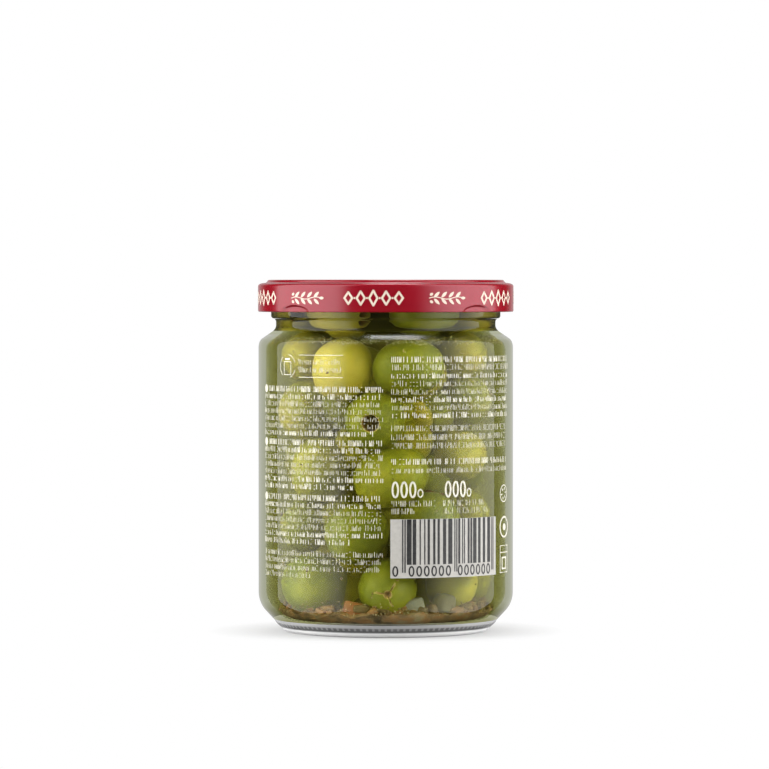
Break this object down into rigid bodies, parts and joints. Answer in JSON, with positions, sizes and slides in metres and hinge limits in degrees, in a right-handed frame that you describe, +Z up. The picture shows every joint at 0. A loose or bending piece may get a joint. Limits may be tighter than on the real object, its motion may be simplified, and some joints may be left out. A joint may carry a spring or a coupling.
{
  "type": "jar of olives",
  "caption": "Round clear glass jar of green olives in brine, shut by a red twist-off lid, with a rounded shoulder, a beaded neck and a sloping heel.",
  "frame": {"origin": "the middle of the base, on the surface the jar stands on", "axes": "+Z up along the jar's axis; the printed front faces -Y, and +X is to the right of someone who looks at it"},
  "size_m": [0.08, 0.08, 0.11],
  "materials": {
    "clear_glass": "clear, smooth and glossy, faintly green at the edges",
    "red_lacquer": "glossy deep red lacquer on tinplate with a small cream ornament",
    "olives": "moist mottled green skins in pale yellow-green brine, with scraps of pepper, garlic and herbs"
  },
  "bodies": {
    "root": {"glass_jar": "clear_glass", "lid": "red_lacquer", "olive_heap": "olives"}
  },
  "joints": []
}
